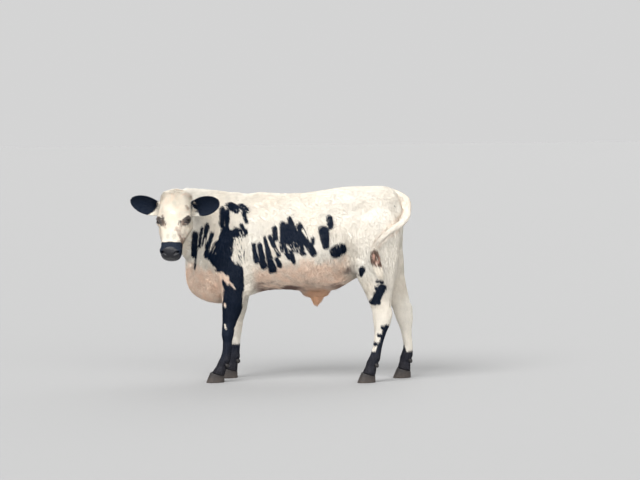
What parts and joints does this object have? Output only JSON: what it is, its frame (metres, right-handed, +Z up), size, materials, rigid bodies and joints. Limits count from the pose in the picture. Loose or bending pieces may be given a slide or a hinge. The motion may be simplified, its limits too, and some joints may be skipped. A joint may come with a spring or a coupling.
{
  "type": "speckle park bull calf",
  "caption": "Life-size still model of a young polled speckled beef calf, standing with its head turned to its left.",
  "frame": {"origin": "on the floor under the middle of the calf's bounding box", "axes": "+Z up, the body lies along X with the brisket and head toward -X, and the calf's left side and its face look toward -Y"},
  "size_m": [1.5976, 0.6706, 1.1277],
  "materials": {
    "coat": "short hair, cream white with black patches",
    "dark_coat": "short black hair",
    "eye": "wet and glossy",
    "hoof": "dusty dark horn",
    "switch_hair": "long soiled pale hair",
    "sheath_hair": "tan hair"
  },
  "bodies": {
    "root": {"claw_fore_left_inner": "hoof", "claw_fore_left_outer": "hoof", "claw_fore_right_inner": "hoof", "claw_fore_right_outer": "hoof", "claw_hind_left_inner": "hoof", "claw_hind_left_outer": "hoof", "claw_hind_right_inner": "hoof", "claw_hind_right_outer": "hoof", "dewclaw_fore_left_inner": "hoof", "dewclaw_fore_left_outer": "hoof", "dewclaw_fore_right_inner": "hoof", "dewclaw_fore_right_outer": "hoof", "dewclaw_hind_left_inner": "hoof", "dewclaw_hind_left_outer": "hoof", "dewclaw_hind_right_inner": "hoof", "dewclaw_hind_right_outer": "hoof", "ear_left": "dark_coat", "ear_right": "dark_coat", "eye_left": "eye", "eye_right": "eye", "foreleg_left": "coat", "foreleg_right": "coat", "head": "coat", "hindleg_left": "coat", "hindleg_right": "coat", "neck": "coat", "sheath": "sheath_hair", "tail": "coat", "tail_switch": "switch_hair", "torso": "coat"}
  },
  "joints": []
}
